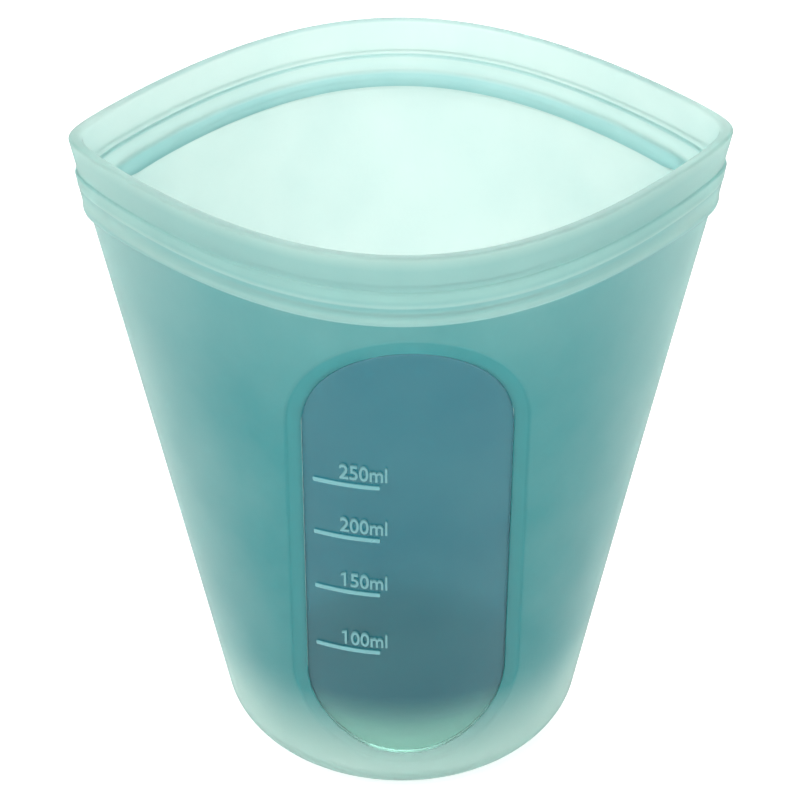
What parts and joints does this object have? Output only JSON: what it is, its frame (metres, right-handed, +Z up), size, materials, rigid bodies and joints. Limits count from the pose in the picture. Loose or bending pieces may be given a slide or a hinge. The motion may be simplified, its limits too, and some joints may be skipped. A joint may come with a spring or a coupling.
{
  "type": "reusable silicone bag",
  "caption": "Stand-up silicone food bag: round base, pointed-oval mouth with a press-to-close rail and lip, and a clearer window with raised volume marks.",
  "frame": {"origin": "centre of the round underside, on the surface that the bag stands on", "axes": "+X to the right of someone facing the window, across the mouth's pointed ends; -Y is the front, with the window; +Z up"},
  "size_m": [0.11, 0.0856, 0.117],
  "materials": {
    "silicone": "frosted translucent silicone, aqua",
    "clear_silicone": "smoother, clearer silicone of the same colour"
  },
  "bodies": {
    "cup": {"base": "silicone", "front_wall": "silicone", "front_window": "clear_silicone", "rear_wall": "silicone", "left_fold": "silicone", "right_fold": "silicone", "volume_mark_100": "silicone", "volume_mark_150": "silicone", "volume_mark_200": "silicone", "volume_mark_250": "silicone", "left_corner_rail": "silicone", "left_corner_lip": "silicone", "right_corner_rail": "silicone", "right_corner_lip": "silicone"},
    "front_zip_middle": {"front_groove_middle": "silicone", "front_lip_middle": "silicone"},
    "front_zip_left": {"front_groove_left": "silicone", "front_lip_left": "silicone"},
    "front_zip_right": {"front_groove_right": "silicone", "front_lip_right": "silicone"},
    "rear_zip_middle": {"rear_rib_middle": "silicone", "rear_lip_middle": "silicone"},
    "rear_zip_left": {"rear_rib_left": "silicone", "rear_lip_left": "silicone"},
    "rear_zip_right": {"rear_rib_right": "silicone", "rear_lip_right": "silicone"}
  },
  "joints": [
    {"name": "zip_press", "type": "slide", "parent": "cup", "child": "front_zip_middle", "axis": [0, 1, 0], "range_m": [0, 0.036], "stiffness_N_per_m": 25, "deforming": ["left_corner_rail", "left_corner_lip", "right_corner_rail", "right_corner_lip"]},
    {"name": "rear_zip_press", "type": "slide", "parent": "cup", "child": "rear_zip_middle", "axis": [0, -1, 0], "range_m": [0, 0.036]},
    {"name": "front_zip_left_fold", "type": "hinge", "parent": "front_zip_middle", "child": "front_zip_left", "pos_m": [-0.0135, -0.04028, 0.1048], "axis": [0, 0, 1], "range_deg": [0, 35.3]},
    {"name": "front_zip_right_fold", "type": "hinge", "parent": "front_zip_middle", "child": "front_zip_right", "pos_m": [0.0135, -0.04028, 0.1048], "axis": [0, 0, -1], "range_deg": [0, 35.3]},
    {"name": "rear_zip_left_fold", "type": "hinge", "parent": "rear_zip_middle", "child": "rear_zip_left", "pos_m": [-0.0135, 0.04028, 0.1048], "axis": [0, 0, -1], "range_deg": [0, 35.3]},
    {"name": "rear_zip_right_fold", "type": "hinge", "parent": "rear_zip_middle", "child": "rear_zip_right", "pos_m": [0.0135, 0.04028, 0.1048], "axis": [0, 0, 1], "range_deg": [0, 35.3]}
  ],
  "couplings": [
    {"joint": "rear_zip_press", "follows": "zip_press", "ratio": 1},
    {"joint": "front_zip_left_fold", "follows": "zip_press", "rad_per_m": 16.993},
    {"joint": "front_zip_right_fold", "follows": "zip_press", "rad_per_m": 16.993},
    {"joint": "rear_zip_left_fold", "follows": "zip_press", "rad_per_m": 16.993},
    {"joint": "rear_zip_right_fold", "follows": "zip_press", "rad_per_m": 16.993}
  ]
}
